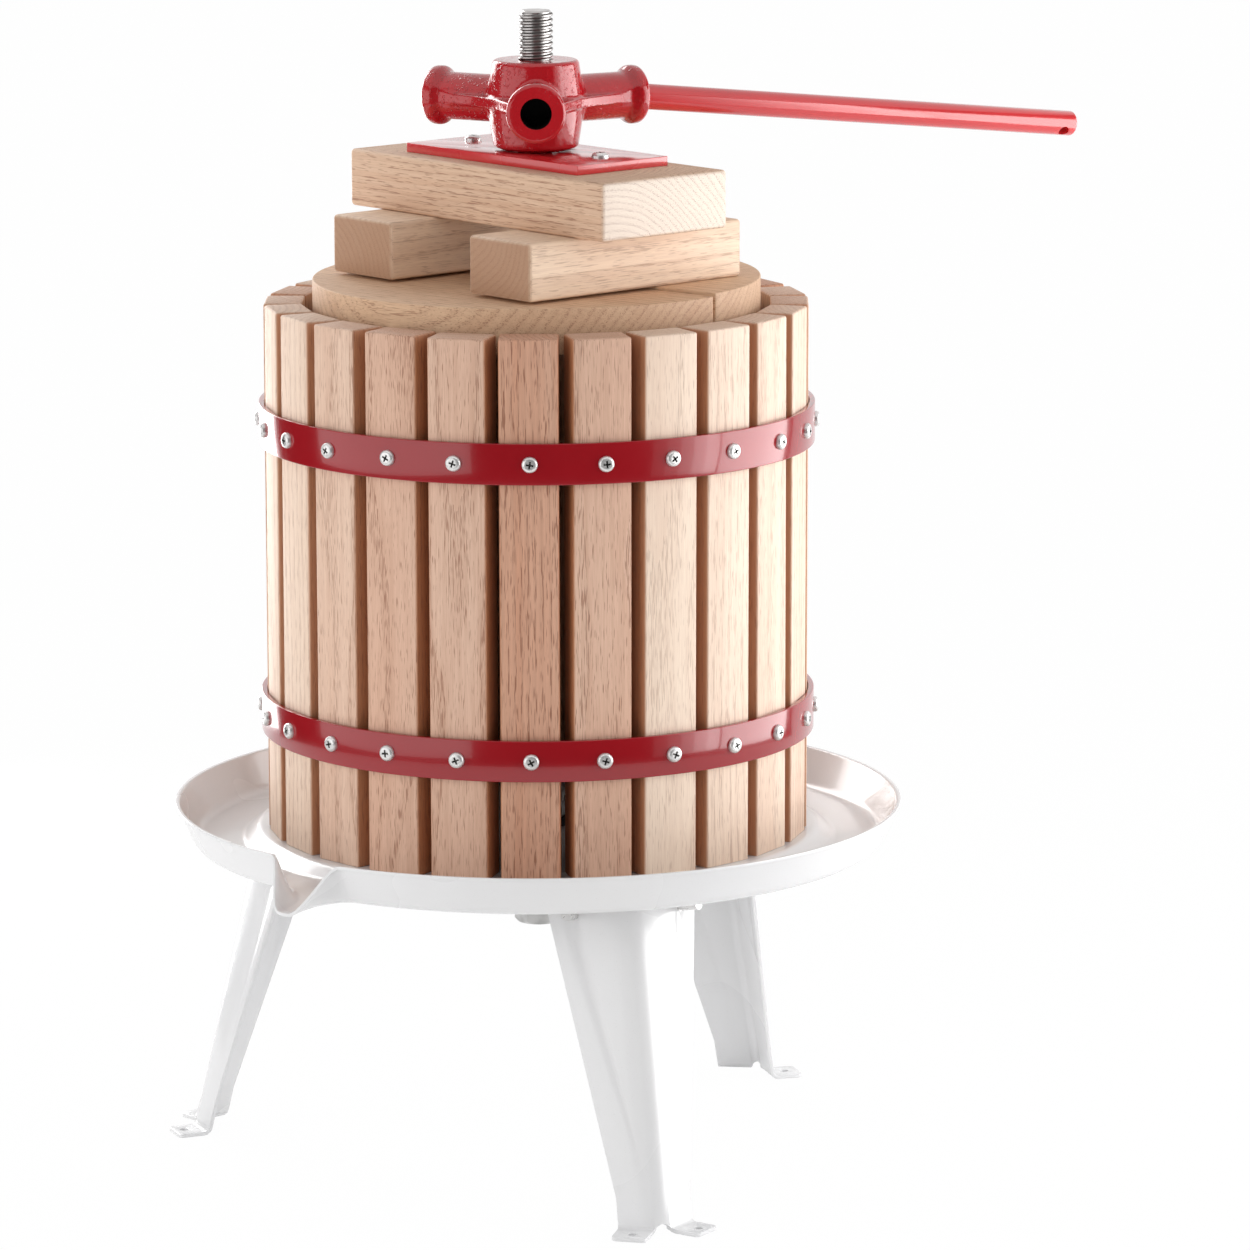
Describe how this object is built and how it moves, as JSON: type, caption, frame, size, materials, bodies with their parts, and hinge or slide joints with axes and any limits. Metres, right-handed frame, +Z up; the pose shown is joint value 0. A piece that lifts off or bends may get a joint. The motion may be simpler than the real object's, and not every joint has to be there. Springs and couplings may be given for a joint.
{
  "type": "fruit press",
  "caption": "Basket fruit press: slatted wooden cage with steel hoops on a three-legged juice tray, and a screw with a hub nut and bar that drives wooden press boards.",
  "frame": {"origin": "on the floor under the screw, at the centre of the circles of foot holes", "axes": "+Z up along the screw; -Y is the front of the press; +X is to the right; at rest the bar points 30 degrees behind +X"},
  "size_m": [0.4927, 0.3841, 0.6032],
  "materials": {
    "stave_wood": "planed, unvarnished",
    "block_wood": "planed, unvarnished",
    "board_wood": "planed, unvarnished",
    "red_paint": "glossy paint",
    "red_casting": "glossy paint on a casting",
    "white_enamel": "glossy white enamel",
    "grey_casting": "rough grey paint",
    "zinc": "bright zinc plate",
    "bright_steel": "bright turned steel",
    "seal_rubber": "matt"
  },
  "bodies": {
    "stand": {"slat_01": "stave_wood", "slat_02": "stave_wood", "slat_03": "stave_wood", "slat_04": "stave_wood", "slat_05": "stave_wood", "slat_06": "stave_wood", "slat_07": "stave_wood", "slat_08": "stave_wood", "slat_09": "stave_wood", "slat_10": "stave_wood", "slat_11": "stave_wood", "slat_12": "stave_wood", "slat_13": "stave_wood", "slat_14": "stave_wood", "slat_15": "stave_wood", "slat_16": "stave_wood", "slat_17": "stave_wood", "slat_18": "stave_wood", "slat_19": "stave_wood", "slat_20": "stave_wood", "slat_21": "stave_wood", "slat_22": "stave_wood", "slat_23": "stave_wood", "slat_24": "stave_wood", "hoop_lower": "red_paint", "hoop_upper": "red_paint", "juice_tray": "white_enamel", "leg_front": "white_enamel", "leg_rear": "white_enamel", "leg_left": "white_enamel", "tripod_plate": "grey_casting", "hoop_screws_lower": "zinc", "hoop_screws_upper": "zinc", "leg_screws": "zinc", "leg_nuts": "zinc", "spindle": "bright_steel", "spindle_nut_upper": "bright_steel", "spindle_nut_lower": "bright_steel", "spindle_washer_lower": "bright_steel", "spindle_washer_upper": "seal_rubber"},
    "press_stack": {"press_plate": "red_paint", "plate_screws": "zinc", "top_block": "block_wood", "cross_block_right": "block_wood", "cross_block_left": "block_wood", "press_board_rear": "board_wood", "press_board_front": "board_wood"},
    "head": {"hub": "red_casting", "handle_bar": "red_paint"}
  },
  "joints": [
    {"name": "press_travel", "type": "slide", "parent": "stand", "child": "press_stack", "axis": [0, 0, -1], "range_m": [-0.024, 0.08]},
    {"name": "hub_turn", "type": "hinge", "parent": "press_stack", "child": "head", "pos_m": [0, 0, 0.5562], "axis": [0, 0, -1], "range_deg": [-2880, 9600]}
  ],
  "couplings": [
    {"joint": "press_travel", "follows": "hub_turn", "m_per_rad": 0.00047746}
  ]
}
